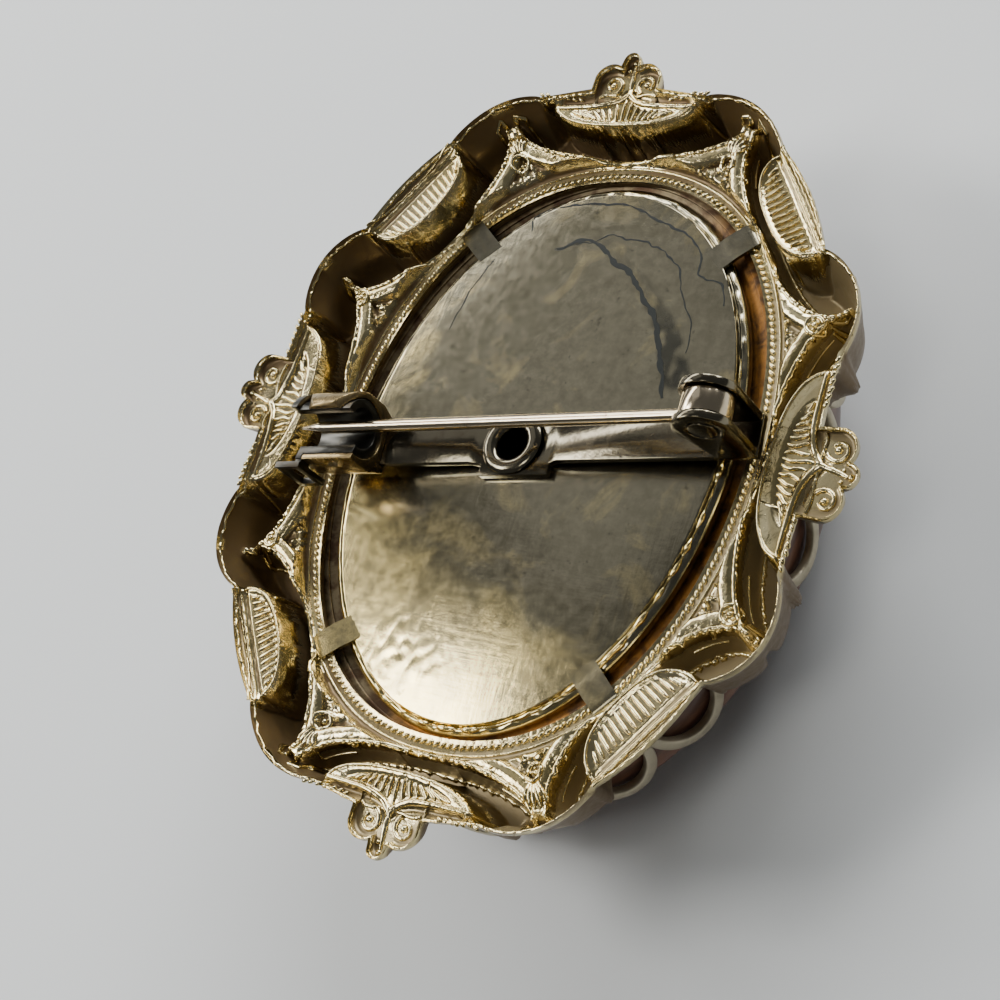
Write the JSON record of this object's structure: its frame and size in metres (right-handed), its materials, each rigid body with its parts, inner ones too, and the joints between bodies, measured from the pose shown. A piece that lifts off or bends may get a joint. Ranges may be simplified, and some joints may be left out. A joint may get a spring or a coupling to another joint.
{
  "type": "cameo brooch",
  "caption": "Oval cameo brooch: carved stone in an open gallery setting, scrolled stamped frame, domed back plate and hinged pin with a turning safety catch.",
  "frame": {"origin": "centre of the oval on the surface that the brooch lies on, face down", "axes": "+X across the oval towards the pin's hinge, +Y along the oval, +Z from the carved face to the back and the pin"},
  "size_m": [0.0406, 0.0484, 0.0158],
  "materials": {
    "relief": "pale carved layer with a soft sheen",
    "stone": "brown carnelian ground, matte at the back and polished at the face",
    "setting_metal": "pale plated strip, worn to cream grey",
    "frame_metal": "stamped and gilt, bright on the edges and brown in the hollows",
    "plate_metal": "polished, with tarnish, tide lines and scratches",
    "pin_metal": "polished strip, lightly tarnished",
    "catch_metal": "brown gilt, rubbed bright on the edges",
    "lock_metal": "dark tarnish",
    "stem_metal": "polished wire"
  },
  "bodies": {
    "brooch": {"cameo_relief": "relief", "cameo_stone": "stone", "setting": "setting_metal", "frame": "frame_metal", "back_plate": "plate_metal", "pin_bar": "pin_metal", "eyelet": "pin_metal", "catch": "catch_metal", "hinge_pin": "pin_metal"},
    "stem": {"pin_stem": "stem_metal"},
    "lock": {"catch_lock": "lock_metal"}
  },
  "joints": [
    {"name": "pin_swing", "type": "hinge", "parent": "brooch", "child": "stem", "pos_m": [0.01271, 0.00101, 0.01423], "axis": [-0.1184, 0.993, 0], "range_deg": [0, 110]},
    {"name": "lock_turn", "type": "hinge", "parent": "brooch", "child": "lock", "pos_m": [-0.01232, -0.00197, 0.01341], "axis": [-0.993, -0.1184, 0], "range_deg": [0, 90]}
  ]
}
